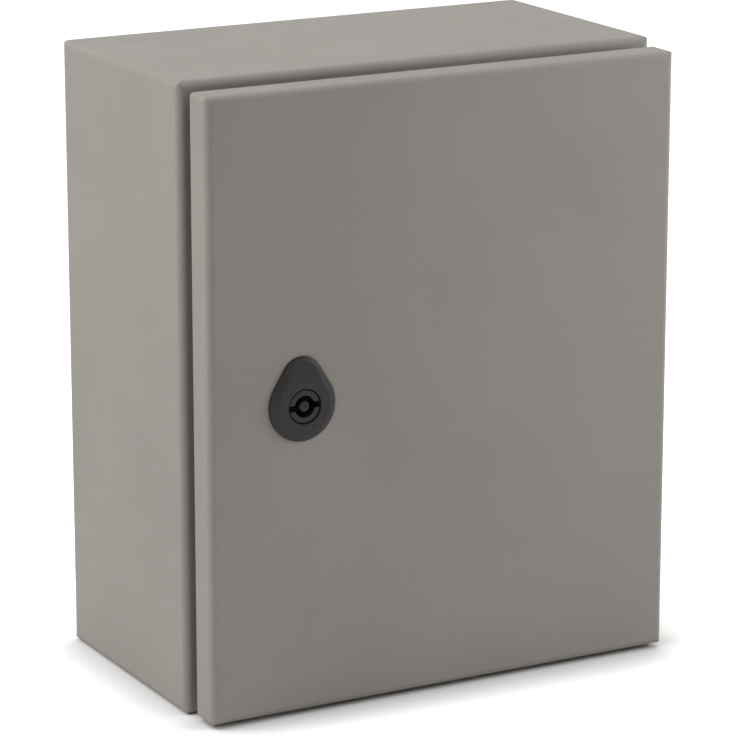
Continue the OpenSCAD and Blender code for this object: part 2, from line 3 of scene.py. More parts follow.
import bmesh
import bpy
from bpy.props import FloatProperty, FloatVectorProperty, IntProperty, PointerProperty
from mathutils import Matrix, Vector


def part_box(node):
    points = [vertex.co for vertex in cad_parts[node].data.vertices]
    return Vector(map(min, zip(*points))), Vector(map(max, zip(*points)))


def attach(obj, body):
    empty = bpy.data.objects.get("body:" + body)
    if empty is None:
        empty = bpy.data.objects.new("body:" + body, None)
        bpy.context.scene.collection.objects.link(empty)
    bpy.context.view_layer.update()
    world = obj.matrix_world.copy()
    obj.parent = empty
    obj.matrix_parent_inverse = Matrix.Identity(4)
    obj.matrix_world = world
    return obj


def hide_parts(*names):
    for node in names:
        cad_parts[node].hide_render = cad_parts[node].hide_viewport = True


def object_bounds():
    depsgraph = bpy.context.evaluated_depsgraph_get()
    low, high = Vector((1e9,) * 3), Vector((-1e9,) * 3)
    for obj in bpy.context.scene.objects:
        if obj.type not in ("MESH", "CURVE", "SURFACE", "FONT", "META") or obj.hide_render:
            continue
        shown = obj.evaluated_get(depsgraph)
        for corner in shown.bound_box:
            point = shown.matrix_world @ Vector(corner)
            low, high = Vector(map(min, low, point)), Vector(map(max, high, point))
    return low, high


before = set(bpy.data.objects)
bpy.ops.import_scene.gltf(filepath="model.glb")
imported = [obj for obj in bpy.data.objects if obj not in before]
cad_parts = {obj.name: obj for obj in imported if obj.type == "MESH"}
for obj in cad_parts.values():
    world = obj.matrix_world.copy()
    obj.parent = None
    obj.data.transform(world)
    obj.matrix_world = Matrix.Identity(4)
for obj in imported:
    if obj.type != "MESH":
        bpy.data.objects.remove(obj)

bl_info = {
    "name": "Wall Enclosure Dressing",
    "version": (1, 0, 0),
    "blender": (4, 5, 0),
    "location": "3D View > Sidebar > Enclosure",
    "description": "Finishes, lock moulding, threads, stage and camera for a sheet-steel wall enclosure",
    "category": "Object",
}

CAD_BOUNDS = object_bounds()
FINISHES = {}

# Threads: depth as a share of the pitch, flat of crest and root as a share of half a turn, and rings to a turn
THREAD_DEPTH = 0.54
THREAD_FLAT = 0.12
STEPS_PER_THREAD = 8
# Largest angle between faces that are shaded as one surface
STUD_SMOOTH = math.radians(35)
MOULD_SMOOTH = math.radians(40)
# Sockets of the Mix node when it mixes colours
MIX_FACTOR, MIX_FIRST, MIX_SECOND, MIX_RESULT = 0, 6, 7, 2
# Stage: half the floor's side, its rows of squares, and how sharply the painted contact shadow darkens it
# towards the object
FLOOR_HALF = 8.0
FLOOR_ROWS = 8
CONTACT_DEPTH = 2.5
# Lock housing, as shares: rings across the face and down the flank
FACE_STEPS = (0.25, 0.5, 0.75, 0.9)
FLANK_STEPS = (0.3, 0.5, 0.7, 0.88)
# Lock housing, as multiples of the edge rounding: (out, down), (in, down), (out, down) and (in, up)
BORE_LIP = ((0.0, 1.0), (0.3, 0.3), (1.0, 0.0))
FACE_EDGE = ((2.0, 0.0), (0.7, 0.1))
FLANK_START = (0.4, 0.45)
RIM_EDGE = ((0.35, 0.05), (0.0, -0.8))
# Lock housing: gap round the barrel in metres, and how far its last thread ring stops short of the end,
# as a share of the end's chamfer
BARREL_GAP = 0.00005
LAST_RING = 0.25

PAINTED = ("enclosure_body", "door_panel", "gland_plate")
GALVANISED = ("mounting_plate",)
FOAMED = ("door_gasket", "gland_gasket")
RUBBER = ("lock_seal", "barrel_o_ring")
MOULDED = ("lock_barrel",)
PLATED = (
    "body_earth_washer", "body_earth_nut", "door_earth_washer", "door_earth_nut",
    "plate_spacers", "plate_washers", "plate_nuts", "gland_nuts",
    "hinge_body_leaf_upper", "hinge_body_leaf_lower", "hinge_door_leaf_upper", "hinge_door_leaf_lower",
    "hinge_screws", "hinge_screw_nuts", "hinge_door_studs", "hinge_door_nuts",
    "hinge_pins", "hinge_pin_clips", "lock_nut", "lock_cam", "lock_cam_screw",
)


# ---------- settings ----------

def colour(name, description, default):
    """A colour setting, in scene-linear values."""
    return FloatVectorProperty(
        name=name, description=description, default=default, subtype="COLOR", size=3, min=0.0, max=1.0
    )


def length(name, description, default):
    """A length setting in metres."""
    return FloatProperty(
        name=name, description=description, default=default, unit="LENGTH", subtype="DISTANCE",
        min=0.0, precision=5,
    )


def power(name, description, default):
    """The power of a lamp in watts."""
    return FloatProperty(name=name, description=description, default=default, min=0.0, unit="POWER")


def share(name, description, default):
    """A setting from 0 to 1."""
    return FloatProperty(
        name=name, description=description, default=default, subtype="FACTOR", min=0.0, max=1.0
    )


class EnclosurePaintSettings(bpy.types.PropertyGroup):
    base: colour("Paint", "Colour of the powder coat", (0.400, 0.372, 0.339))
    spread: share("Colour variation", "How far the coat varies over the sheets", 0.035)
    roughness: share("Roughness", "Mean roughness of the coat", 0.62)
    peel_size: length("Orange peel size", "Distance between the waves of the coat", 0.0012)
    peel_height: length("Orange peel height", "Height of the waves of the coat", 0.00002)
    grain_size: length("Grain size", "Distance between the grains of the fine texture", 0.0004)
    grain_height: length("Grain height", "Height of the grains of the fine texture", 0.000008)


class EnclosureMetalSettings(bpy.types.PropertyGroup):
    zinc: colour("Zinc plate", "Colour of the plated fasteners, hinges and cam", (0.60, 0.61, 0.62))
    zinc_roughness: share("Zinc roughness", "Mean roughness of the zinc plate", 0.32)
    galvanised: colour("Galvanised sheet", "Colour of the mounting plate", (0.52, 0.54, 0.55))
    spangle_size: length("Spangle size", "Distance between the crystals of the galvanised sheet", 0.006)


class EnclosureSealSettings(bpy.types.PropertyGroup):
    foam: colour("Foam", "Colour of the foamed gaskets", (0.016, 0.016, 0.017))
    pore_size: length("Pore size", "Distance between the pores of the foam", 0.0009)
    rubber: colour("Rubber", "Colour of the lock's seals", (0.009, 0.009, 0.009))


class EnclosureLockSettings(bpy.types.PropertyGroup):
    moulding: colour("Moulding", "Colour of the lock's housing and barrel", (0.020, 0.017, 0.017))
    roughness: share("Roughness", "Mean roughness of the moulding", 0.46)
    top_radius: length("Upper radius", "Radius of the escutcheon's upper end", 0.0103)
    top_height: length("Upper height", "Thickness of the escutcheon at its upper end", 0.0019)
    rim_height: length("Rim height", "Height of the escutcheon's upright rim", 0.001)
    face_inset: length("Face inset", "Width of the sloping flank beside the barrel", 0.0034)
    top_face_inset: length("Upper face inset", "Width of the sloping flank at the upper end", 0.0017)
    edge_round: length("Edge rounding", "Size of the soft edges of the moulding", 0.00035)
    seal_bore: length("Seal bore", "Inner radius of the groove for the seal", 0.0124)
    neck_radius: length("Neck radius", "Outer radius of the threaded neck", 0.011)
    neck_plain: length("Plain neck", "Length of the neck before its thread", 0.0016)
    neck_chamfer: length("Neck chamfer", "Chamfer at the end of the neck", 0.0008)
    spindle_bore: length("Spindle bore", "Radius of the bore behind the barrel", 0.00605)
    shoulder: length("Shoulder", "Thickness of the neck's end behind the barrel", 0.0033)
    neck_flat: length("Neck flats", "Distance of each flat of the neck from the lock's axis", 0.01)
    neck_pitch: length("Neck pitch", "Thread pitch of the neck", 0.0015)
    facets: IntProperty(
        name="Facets", description="Points round the lock's housing", default=144, min=48, max=288
    )


class EnclosureThreadSettings(bpy.types.PropertyGroup):
    m6_pitch: length("M6 pitch", "Thread pitch of the M6 studs", 0.001)
    m5_pitch: length("M5 pitch", "Thread pitch of the M5 studs", 0.0008)
    end_chamfer: length("End chamfer", "Chamfer at the end of each stud", 0.0006)
    facets: IntProperty(
        name="Facets", description="Points round a stud", default=28, min=12, max=64
    )


class EnclosureStageSettings(bpy.types.PropertyGroup):
    floor: colour("Floor", "Colour of the floor", (0.8, 0.8, 0.8))
    floor_lift: share("Floor lift", "Brightness added to the open floor in view", 0.85)
    # Reach of the painted contact shadow that darkens the floor towards the object
    contact_reach: length("Contact reach", "Distance over which the floor darkens towards the object", 0.036)
    ambient: FloatProperty(
        name="Ambient", description="Strength of the light from all round", default=0.25, min=0.0, max=2.0
    )
    key_power: power("Key light", "Power of the light above the left side", 18.6)
    top_power: power("Top light", "Power of the light over the top", 3.4)
    side_power: power("Side light", "Power of the light to the right of the front", 1.9)
    lamp_size: length("Lamp size", "Side of each large lamp", 1.2)
    side_lamp_size: length("Side lamp size", "Side of the lamp to the right of the front", 0.35)


class EnclosureCameraSettings(bpy.types.PropertyGroup):
    azimuth: FloatProperty(
        name="Azimuth", description="Turn of the camera about the vertical", default=math.radians(-28.63),
        subtype="ANGLE", unit="ROTATION"
    )
    elevation: FloatProperty(
        name="Elevation", description="Height of the camera as an angle", default=math.radians(14.957),
        subtype="ANGLE", unit="ROTATION"
    )
    distance: length("Distance", "Distance from the middle of the closed box", 1.795)
    aim_right: FloatProperty(
        name="Aim right", description="Sideways distance of the aim from the middle of the box",
        default=-0.000494, unit="LENGTH", subtype="DISTANCE", precision=6
    )
    aim_up: FloatProperty(
        name="Aim up", description="Distance of the aim above the middle of the box",
        default=-0.009428, unit="LENGTH", subtype="DISTANCE", precision=6
    )
    lens: FloatProperty(
        name="Focal length", description="Focal length of the lens in millimetres", default=181.72,
        min=20.0, max=400.0
    )


# ---------- shading ----------

class Finish:
    """A material under construction: a Principled surface fed by textures that stick to the object."""

    def __init__(self, name, roughness, metallic=0.0):
        self.material = bpy.data.materials.new(name)
        self.material.use_nodes = True
        self.tree = self.material.node_tree
        self.tree.nodes.clear()
        self.surface = self.add("ShaderNodeBsdfPrincipled")
        self.surface.inputs["Roughness"].default_value = roughness
        self.surface.inputs["Metallic"].default_value = metallic
        out = self.add("ShaderNodeOutputMaterial")
        self.link(self.surface.outputs["BSDF"], out.inputs["Surface"])
        self.place = self.add("ShaderNodeTexCoord").outputs["Object"]
        self.normal = None

    def add(self, kind):
        return self.tree.nodes.new(kind)

    def link(self, source, target):
        self.tree.links.new(source, target)

    def noise(self, size, detail=2.0, stretch=(1.0, 1.0, 1.0)):
        """Soft noise from 0 to 1 with waves of the given size in metres."""
        mapping = self.add("ShaderNodeMapping")
        mapping.inputs["Scale"].default_value = [s / size for s in stretch]
        self.link(self.place, mapping.inputs["Vector"])
        node = self.add("ShaderNodeTexNoise")
        node.inputs["Scale"].default_value = 1.0
        node.inputs["Detail"].default_value = detail
        self.link(mapping.outputs["Vector"], node.inputs["Vector"])
        return node.outputs["Fac"]

    def cells(self, size, place=None):
        """Crystal or pore cells of the given size in metres: distance and a colour per cell."""
        node = self.add("ShaderNodeTexVoronoi")
        node.inputs["Scale"].default_value = 1.0 / size
        self.link(place or self.place, node.inputs["Vector"])
        return node

    def spread(self, value, low, high, from_low=0.3, from_high=0.7):
        """The value, mapped to run from low to high."""
        node = self.add("ShaderNodeMapRange")
        node.inputs["From Min"].default_value = from_low
        node.inputs["From Max"].default_value = from_high
        node.inputs["To Min"].default_value = low
        node.inputs["To Max"].default_value = high
        self.link(value, node.inputs["Value"])
        return node.outputs["Result"]

    def between(self, dark, light, value):
        """A colour between two by the value."""
        node = self.add("ShaderNodeMix")
        node.data_type = "RGBA"
        node.inputs[MIX_FIRST].default_value = (*dark, 1.0)
        node.inputs[MIX_SECOND].default_value = (*light, 1.0)
        self.link(value, node.inputs[MIX_FACTOR])
        return node.outputs[MIX_RESULT]

    def dimmed(self, tone, value):
        """The colour, multiplied by the value."""
        node = self.add("ShaderNodeMix")
        node.data_type = "RGBA"
        node.blend_type = "MULTIPLY"
        node.inputs[MIX_FACTOR].default_value = 1.0
        self.link(tone, node.inputs[MIX_FIRST])
        grey = self.add("ShaderNodeCombineColor")
        for socket in ("Red", "Green", "Blue"):
            self.link(value, grey.inputs[socket])
        self.link(grey.outputs["Color"], node.inputs[MIX_SECOND])
        return node.outputs[MIX_RESULT]

    def relief(self, value, height):
        """Adds a bump of the given height in metres."""
        node = self.add("ShaderNodeBump")
        node.inputs["Strength"].default_value = 1.0
        node.inputs["Distance"].default_value = height
        self.link(value, node.inputs["Height"])
        if self.normal:
            self.link(self.normal, node.inputs["Normal"])
        self.normal = node.outputs["Normal"]

    def done(self, tone, roughness):
        """Connects colour, roughness and bump, and returns the material."""
        self.link(tone, self.surface.inputs["Base Color"])
        self.link(roughness, self.surface.inputs["Roughness"])
        if self.normal:
            self.link(self.normal, self.surface.inputs["Normal"])
        return self.material


def toned(base, factor):
    """The colour, lighter or darker by a factor."""
    return tuple(min(1.0, c * factor) for c in base)


def varied(finish, size, detail, mean, below, above):
    """Roughness that drifts about its mean."""
    return finish.spread(finish.noise(size, detail), mean - below, mean + above)


def powder_coat(settings):
    """Fine-textured powder coat: soft clouds of tone, orange peel and grain."""
    finish = Finish("textured_powder_coat", settings.roughness)
    finish.surface.inputs["Specular IOR Level"].default_value = 0.22
    low, high = 1.0 - settings.spread, 1.0 + settings.spread
    clouds = finish.spread(finish.noise(size=0.07, detail=3.0), 0.0, 1.0)
    tone = finish.between(toned(settings.base, low), toned(settings.base, high), clouds)
    speckle = finish.noise(settings.grain_size * 2.5, detail=1.0)
    tone = finish.dimmed(tone, finish.spread(speckle, low, high))
    finish.relief(finish.noise(settings.peel_size, detail=1.0), settings.peel_height)
    finish.relief(finish.noise(settings.grain_size, detail=0.0), settings.grain_height)
    rough = varied(finish, size=0.011, detail=4.0, mean=settings.roughness, below=0.05, above=0.05)
    return finish.done(tone, rough)


def zinc_plate(settings):
    """Bright zinc plate: cloudy tone with fine drawing marks."""
    finish = Finish("bright_zinc_plate", settings.zinc_roughness, metallic=1.0)
    clouds = finish.spread(finish.noise(size=0.006, detail=4.0), 0.0, 1.0)
    tone = finish.between(toned(settings.zinc, 0.86), toned(settings.zinc, 1.1), clouds)
    finish.relief(finish.noise(size=0.0004, detail=2.0, stretch=(1.0, 0.12, 1.0)), height=0.000004)
    rough = varied(finish, size=0.0025, detail=3.0, mean=settings.zinc_roughness, below=0.08, above=0.1)
    return finish.done(tone, rough)


def galvanised_sheet(settings):
    """Hot-dip galvanised sheet with a fine spangle, whose crystals have bent outlines."""
    finish = Finish("galvanised_sheet", roughness=0.36, metallic=1.0)
    drift = finish.add("ShaderNodeTexNoise")
    drift.inputs["Scale"].default_value = 2.5 / settings.spangle_size
    finish.link(finish.place, drift.inputs["Vector"])
    bend = finish.add("ShaderNodeVectorMath")
    bend.operation = "MULTIPLY_ADD"
    bend.inputs[1].default_value = [settings.spangle_size * 0.35] * 3
    finish.link(drift.outputs["Color"], bend.inputs[0])
    finish.link(finish.place, bend.inputs[2])
    crystals = finish.cells(settings.spangle_size, bend.outputs["Vector"])
    split = finish.add("ShaderNodeSeparateColor")
    finish.link(crystals.outputs["Color"], split.inputs["Color"])
    dull, bright = toned(settings.galvanised, 0.9), toned(settings.galvanised, 1.08)
    tone = finish.between(dull, bright, split.outputs["Red"])
    tone = finish.dimmed(tone, finish.spread(finish.noise(size=0.0009, detail=2.0), 0.95, 1.05))
    finish.relief(crystals.outputs["Distance"], height=0.00001)
    finish.relief(finish.noise(size=0.0006, detail=2.0), height=0.000004)
    rough = finish.spread(split.outputs["Green"], low=0.28, high=0.46, from_low=0.0, from_high=1.0)
    return finish.done(tone, rough)


def foam_skin(settings):
    """Skin of a foamed gasket: matt, with pores and soft swells, and painted shade darkening the pores."""
    finish = Finish("foam_skin", roughness=0.85)
    finish.surface.inputs["Specular IOR Level"].default_value = 0.25
    pores = finish.cells(settings.pore_size).outputs["Distance"]
    # Painted shade: the tone darkens towards the middle of each pore, where the bump sinks
    painted_pore_shade = finish.spread(pores, low=0.0, high=1.0, from_low=0.1, from_high=0.6)
    tone = finish.between(toned(settings.foam, 0.6), toned(settings.foam, 1.5), painted_pore_shade)
    finish.relief(pores, height=0.00006)
    finish.relief(finish.noise(size=0.006, detail=2.0), height=0.00015)
    rough = varied(finish, size=0.002, detail=2.0, mean=0.85, below=0.07, above=0.07)
    return finish.done(tone, rough)


def seal_rubber(settings):
    """Smooth moulded rubber."""
    finish = Finish("moulded_rubber", roughness=0.55)
    clouds = finish.noise(size=0.0015, detail=3.0)
    tone = finish.between(toned(settings.rubber, 0.7), toned(settings.rubber, 1.4), clouds)
    finish.relief(finish.noise(size=0.0003, detail=1.0), height=0.000005)
    rough = varied(finish, size=0.0008, detail=2.0, mean=0.55, below=0.07, above=0.09)
    return finish.done(tone, rough)


def satin_moulding(settings):
    """Dark satin moulding with a spark-eroded grain."""
    finish = Finish("satin_moulding", settings.roughness)
    finish.surface.inputs["Specular IOR Level"].default_value = 0.3
    clouds = finish.spread(finish.noise(size=0.004, detail=3.0), 0.0, 1.0)
    tone = finish.between(toned(settings.moulding, 0.92), toned(settings.moulding, 1.08), clouds)
    finish.relief(finish.noise(size=0.00025, detail=1.0), height=0.000007)
    finish.relief(finish.noise(size=0.0022, detail=1.0), height=0.00001)
    rough = varied(finish, size=0.0007, detail=2.0, mean=settings.roughness, below=0.05, above=0.06)
    return finish.done(tone, rough)


def once(make, settings):
    """The material that a function makes, made when it is first asked for."""
    if make not in FINISHES:
        FINISHES[make] = make(settings)
    return FINISHES[make]


def coat(names, material):
    """Gives CAD nodes a finish."""
    for name in names:
        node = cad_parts[name]
        node.data.materials.clear()
        node.data.materials.append(material)


# ---------- shapes ----------

def placed(name, mesh, body, material, slot, *nodes):
    """Links a finished mesh as a piece that rides on a body and stands for CAD nodes."""
    mesh.materials.append(material)
    piece = bpy.data.objects.new(name, mesh)
    bpy.context.scene.collection.objects.link(piece)
    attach(piece, body)
    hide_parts(*nodes)


def lofted(mesh_name, stacks, smooth_angle, joined=False):
    """A mesh from stacks of rings, each capped or joined end to end, with soft shading below an angle."""
    work = bmesh.new()
    for rings in stacks:
        rows = [[work.verts.new(point) for point in ring] for ring in rings]
        for low, high in zip(rows, rows[1:] + (rows[:1] if joined else [])):
            for i in range(len(low)):
                j = (i + 1) % len(low)
                work.faces.new((low[i], low[j], high[j], high[i]))
        if not joined:
            work.faces.new(list(reversed(rows[0])))
            work.faces.new(rows[-1])
    bmesh.ops.recalc_face_normals(work, faces=work.faces)
    for face in work.faces:
        face.smooth = True
    for edge in work.edges:
        if len(edge.link_faces) == 2 and edge.calc_face_angle(0.0) > smooth_angle:
            edge.smooth = False
    mesh = bpy.data.meshes.new(mesh_name)
    work.to_mesh(mesh)
    work.free()
    return mesh


def solids_of(node):
    """The box of each separate solid of a CAD node, as pairs of corners."""
    work = bmesh.new()
    work.from_mesh(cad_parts[node].data)
    bmesh.ops.remove_doubles(work, verts=work.verts, dist=1e-6)
    unseen, boxes = set(work.verts), []
    while unseen:
        front, part = [unseen.pop()], []
        while front:
            vert = front.pop()
            part.append(vert.co.copy())
            for edge in vert.link_edges:
                other = edge.other_vert(vert)
                if other in unseen:
                    unseen.remove(other)
                    front.append(other)
        boxes.append((
            Vector([min(co[k] for co in part) for k in range(3)]),
            Vector([max(co[k] for co in part) for k in range(3)]),
        ))
    work.free()
    return sorted(boxes, key=lambda pair: tuple(round(v, 6) for v in pair[0]))


def thread_depth(turn):
    """Depth of a 60-degree thread by the share of a turn, from 0 on its flat crest to 1 on its flat root."""
    wave = abs(((turn % 1.0) - 0.5) * 2.0)
    return min(1.0, max(0.0, (wave - THREAD_FLAT) / (1.0 - 2 * THREAD_FLAT)))


def threaded_rings(pitch, depth, start, stop, radius_at, facets):
    """Rings (distance along, list of radii) of an outside thread between two distances."""
    count = max(2, round((stop - start) / pitch * STEPS_PER_THREAD))
    for k in range(count + 1):
        along = start + (stop - start) * k / count
        radii = [
            radius_at(along) - depth * thread_depth(along / pitch - i / facets) for i in range(facets)
        ]
        yield along, radii


def threaded_stud(low, high, axis, sign, pitch, chamfer, facets):
    """Rings of one threaded stud that fills a box, along an axis, with its free end at the sign's side."""
    across = [k for k in range(3) if k != axis]
    centre = (low + high) / 2
    radius = (high[across[0]] - low[across[0]]) / 2
    total = high[axis] - low[axis]
    root = low[axis] if sign > 0 else high[axis]

    def ring(along, radii):
        points = []
        for i, r in enumerate(radii):
            angle = 2 * math.pi * i / len(radii)
            point = Vector(centre)
            point[axis] = root + sign * along
            point[across[0]] += r * math.cos(angle)
            point[across[1]] += r * math.sin(angle)
            points.append(point)
        return points

    def outer(along):
        return radius - max(0.0, along - (total - chamfer))

    turns = threaded_rings(pitch, THREAD_DEPTH * pitch, pitch / 4, total, outer, facets)
    return [ring(0.0, [radius] * facets)] + [ring(along, radii) for along, radii in turns]


class LockHousing:
    """The lock's housing as one closed run of rings: drop-shaped escutcheon in front, threaded neck behind."""

    def __init__(self, lock):
        low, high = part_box("lock_housing")
        barrel_low, barrel_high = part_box("lock_barrel")
        seal_low, seal_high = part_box("lock_seal")
        self.lock = lock
        self.door_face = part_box("door_panel")[0].y
        self.axis_x = (barrel_low.x + barrel_high.x) / 2
        self.axis_z = (seal_low.z + seal_high.z) / 2
        self.wide = (high.x - low.x) / 2
        self.rise = high.z - self.axis_z - lock.top_radius
        self.height = self.door_face - low.y
        self.neck_len = high.y - self.door_face
        self.bore = (barrel_high.x - barrel_low.x) / 2 + BARREL_GAP
        self.seal_out = (seal_high.x - seal_low.x) / 2
        self.seal_depth = self.door_face - seal_low.y
        self.stations = self.round_the_drop()
        self.bearings = [math.atan2(w, u) for u, w in self.inset(0.0, 0.0)]

    def rings(self):
        return [
            *self.face_rings(),
            *self.flank_rings(),
            *self.underside_rings(),
            *self.neck_rings(),
            *self.bore_rings(),
        ]

    def round_the_drop(self):
        """Stations round the drop: share of the way up its axis and direction of its normal."""
        count, top = self.lock.facets, self.lock.top_radius
        lean = math.asin((self.wide - top) / self.rise)
        low_turn = math.pi + 2 * lean
        high_turn = math.pi - 2 * lean
        side = self.rise * math.cos(lean)
        total = self.wide * low_turn + top * high_turn + 2 * side
        n_low = max(8, round(count * self.wide * low_turn / total))
        n_high = max(8, round(count * top * high_turn / total))
        n_side = max(3, (count - n_low - n_high) // 2)
        stations = [(0.0, math.pi - lean + low_turn * i / n_low) for i in range(n_low)]
        stations += [(i / n_side, lean) for i in range(n_side)]
        stations += [(1.0, lean + high_turn * i / n_high) for i in range(n_high)]
        stations += [(1.0 - i / n_side, math.pi - lean) for i in range(n_side)]
        return stations

    def inset(self, at_low, at_top):
        """The drop's outline, moved inwards by an amount that runs from its low end to its top."""
        top, points = self.lock.top_radius, []
        for s, angle in self.stations:
            radius = self.wide + (top - self.wide) * s - (at_low + (at_top - at_low) * s)
            points.append((radius * math.cos(angle), self.rise * s + radius * math.sin(angle)))
        return points

    def circle(self, radius):
        return [(radius * math.cos(a), radius * math.sin(a)) for a in self.bearings]

    def ring(self, points, out):
        """The points at one distance in front of the door's face."""
        return [(self.axis_x + u, self.door_face - out, self.axis_z + w) for u, w in points]

    def face_height(self, u, w):
        """Height of the escutcheon's face, which falls away towards its upper end."""
        reach = self.rise + self.lock.top_radius - self.lock.top_face_inset
        flat_to = self.wide - self.lock.face_inset
        along = min(1.0, max(0.0, (math.hypot(u, w) - flat_to) / (reach - flat_to)))
        return self.height - (self.height - self.lock.top_height) * along

    def raised(self, points, drop=0.0):
        """The points on the face, or a little below it."""
        return [
            (self.axis_x + u, self.door_face - self.face_height(u, w) + drop, self.axis_z + w)
            for u, w in points
        ]

    def face_inset(self, more):
        """The outline of the face, moved inwards."""
        return self.inset(self.lock.face_inset + more, self.lock.top_face_inset + more)

    def face_rings(self):
        soft = self.lock.edge_round
        for out, down in BORE_LIP:
            yield self.ring(self.circle(self.bore + out * soft), self.height - down * soft)
        (inner, _), (edge, drop) = FACE_EDGE
        face_in = self.face_inset(inner * soft)
        for step in FACE_STEPS:
            yield self.raised([
                (a[0] + (b[0] - a[0]) * step, a[1] + (b[1] - a[1]) * step)
                for a, b in zip(self.circle(self.bore + soft), face_in)
            ])
        yield self.raised(face_in)
        yield self.raised(self.face_inset(edge * soft), drop * soft)

    def flank_rings(self):
        lock = self.lock
        soft = lock.edge_round
        heights = [self.face_height(u, w) for u, w in self.face_inset(0.0)]
        out, down = FLANK_START
        yield [
            (self.axis_x + u, self.door_face - (h - down * soft), self.axis_z + w)
            for (u, w), h in zip(self.face_inset(-out * soft), heights)
        ]
        for step in FLANK_STEPS:
            points = self.inset(lock.face_inset * (1 - step), lock.top_face_inset * (1 - step))
            yield [
                (self.axis_x + u, self.door_face - (h + (lock.rim_height - h) * step), self.axis_z + w)
                for (u, w), h in zip(points, heights)
            ]
        for inwards, up in RIM_EDGE:
            yield self.ring(self.inset(inwards * soft, inwards * soft), lock.rim_height + up * soft)

    def underside_rings(self):
        """Underside on the door, with the groove for the seal."""
        yield self.ring(self.inset(0.0, 0.0), 0.0)
        outer, inner = self.circle(self.seal_out), self.circle(self.lock.seal_bore)
        for points, out in ((outer, 0.0), (outer, self.seal_depth), (inner, self.seal_depth), (inner, 0.0)):
            yield self.ring(points, out)

    def neck_rings(self):
        """Threaded neck with two flats."""
        lock, neck = self.lock, self.lock.neck_radius
        yield self.flatted([neck] * len(self.bearings), 0.0)
        yield self.flatted([neck] * len(self.bearings), lock.neck_plain)
        start = lock.neck_plain + lock.neck_pitch / STEPS_PER_THREAD
        stop = self.neck_len - lock.neck_chamfer * LAST_RING
        count = max(2, round((stop - start) / lock.neck_pitch * STEPS_PER_THREAD))
        for k in range(count + 1):
            along = start + (stop - start) * k / count
            outer = neck - max(0.0, along - (self.neck_len - lock.neck_chamfer))
            turns = [along / lock.neck_pitch - a / (2 * math.pi) for a in self.bearings]
            depth = THREAD_DEPTH * lock.neck_pitch
            yield self.flatted([min(outer, neck - depth * thread_depth(turn)) for turn in turns], along)
        yield self.flatted([neck - lock.neck_chamfer] * len(self.bearings), self.neck_len)

    def flatted(self, radii, inwards):
        """One ring of the neck, cut by its flats, at a distance behind the door's face."""
        flat = self.lock.neck_flat
        return self.ring([
            (max(-flat, min(flat, r * math.cos(a))), r * math.sin(a)) for a, r in zip(self.bearings, radii)
        ], -inwards)

    def bore_rings(self):
        """Bore for the spindle, and the shoulder of the barrel's bore."""
        spindle = self.circle(self.lock.spindle_bore)
        shoulder = self.neck_len - self.lock.shoulder
        yield self.ring(spindle, -self.neck_len)
        yield self.ring(spindle, -shoulder)
        yield self.ring(self.circle(self.bore), -shoulder)


# ---------- operators ----------

class ENCLOSURE_OT_paint_sheets(bpy.types.Operator):
    """Powder-coats the body, the door and the gland plate"""

    bl_idname = "enclosure.paint_sheets"
    bl_label = "Paint Sheets"

    def execute(self, context):
        coat(PAINTED, once(powder_coat, context.scene.enclosure_paint))
        return {"FINISHED"}


class ENCLOSURE_OT_plate_hardware(bpy.types.Operator):
    """Zinc-plates the fasteners, hinges and cam, and galvanises the mounting plate"""

    bl_idname = "enclosure.plate_hardware"
    bl_label = "Plate Hardware"

    def execute(self, context):
        metal = context.scene.enclosure_metal
        coat(PLATED, once(zinc_plate, metal))
        coat(GALVANISED, once(galvanised_sheet, metal))
        return {"FINISHED"}


class ENCLOSURE_OT_fit_seals(bpy.types.Operator):
    """Gives the foamed gaskets and the lock's seals their surfaces"""

    bl_idname = "enclosure.fit_seals"
    bl_label = "Fit Seals"

    def execute(self, context):
        seals = context.scene.enclosure_seals
        coat(FOAMED, once(foam_skin, seals))
        coat(RUBBER, once(seal_rubber, seals))
        return {"FINISHED"}


class ENCLOSURE_OT_thread_studs(bpy.types.Operator):
    """Cuts the threads of the plate, gland and earth studs"""

    bl_idname = "enclosure.thread_studs"
    bl_label = "Thread Studs"

    def execute(self, context):
        threads = context.scene.enclosure_threads
        material = once(zinc_plate, context.scene.enclosure_metal)
        studs = (
            ("plate_studs", "enclosure", 1, -1, threads.m6_pitch),
            ("gland_studs", "enclosure", 2, 1, threads.m5_pitch),
            ("body_earth_stud", "enclosure", 0, 1, threads.m6_pitch),
            ("door_earth_stud", "door", 1, 1, threads.m6_pitch),
        )
        for node, body, axis, sign, pitch in studs:
            stacks = [
                threaded_stud(low, high, axis, sign, pitch, threads.end_chamfer, threads.facets)
                for low, high in solids_of(node)
            ]
            mesh = lofted(node + "_threaded", stacks, STUD_SMOOTH)
            placed(node + "_threaded", mesh, body, material, "zinc_plated_steel", node)
        return {"FINISHED"}


class ENCLOSURE_OT_mould_lock(bpy.types.Operator):
    """Moulds the lock's drop-shaped escutcheon and threaded neck, and finishes the barrel"""

    bl_idname = "enclosure.mould_lock"
    bl_label = "Mould Lock"

    def execute(self, context):
        lock = context.scene.enclosure_lock
        material = once(satin_moulding, lock)
        coat(MOULDED, material)
        mesh = lofted("lock_escutcheon", [LockHousing(lock).rings()], MOULD_SMOOTH, joined=True)
        placed("lock_escutcheon", mesh, "door", material, "dark_moulding", "lock_housing")
        return {"FINISHED"}


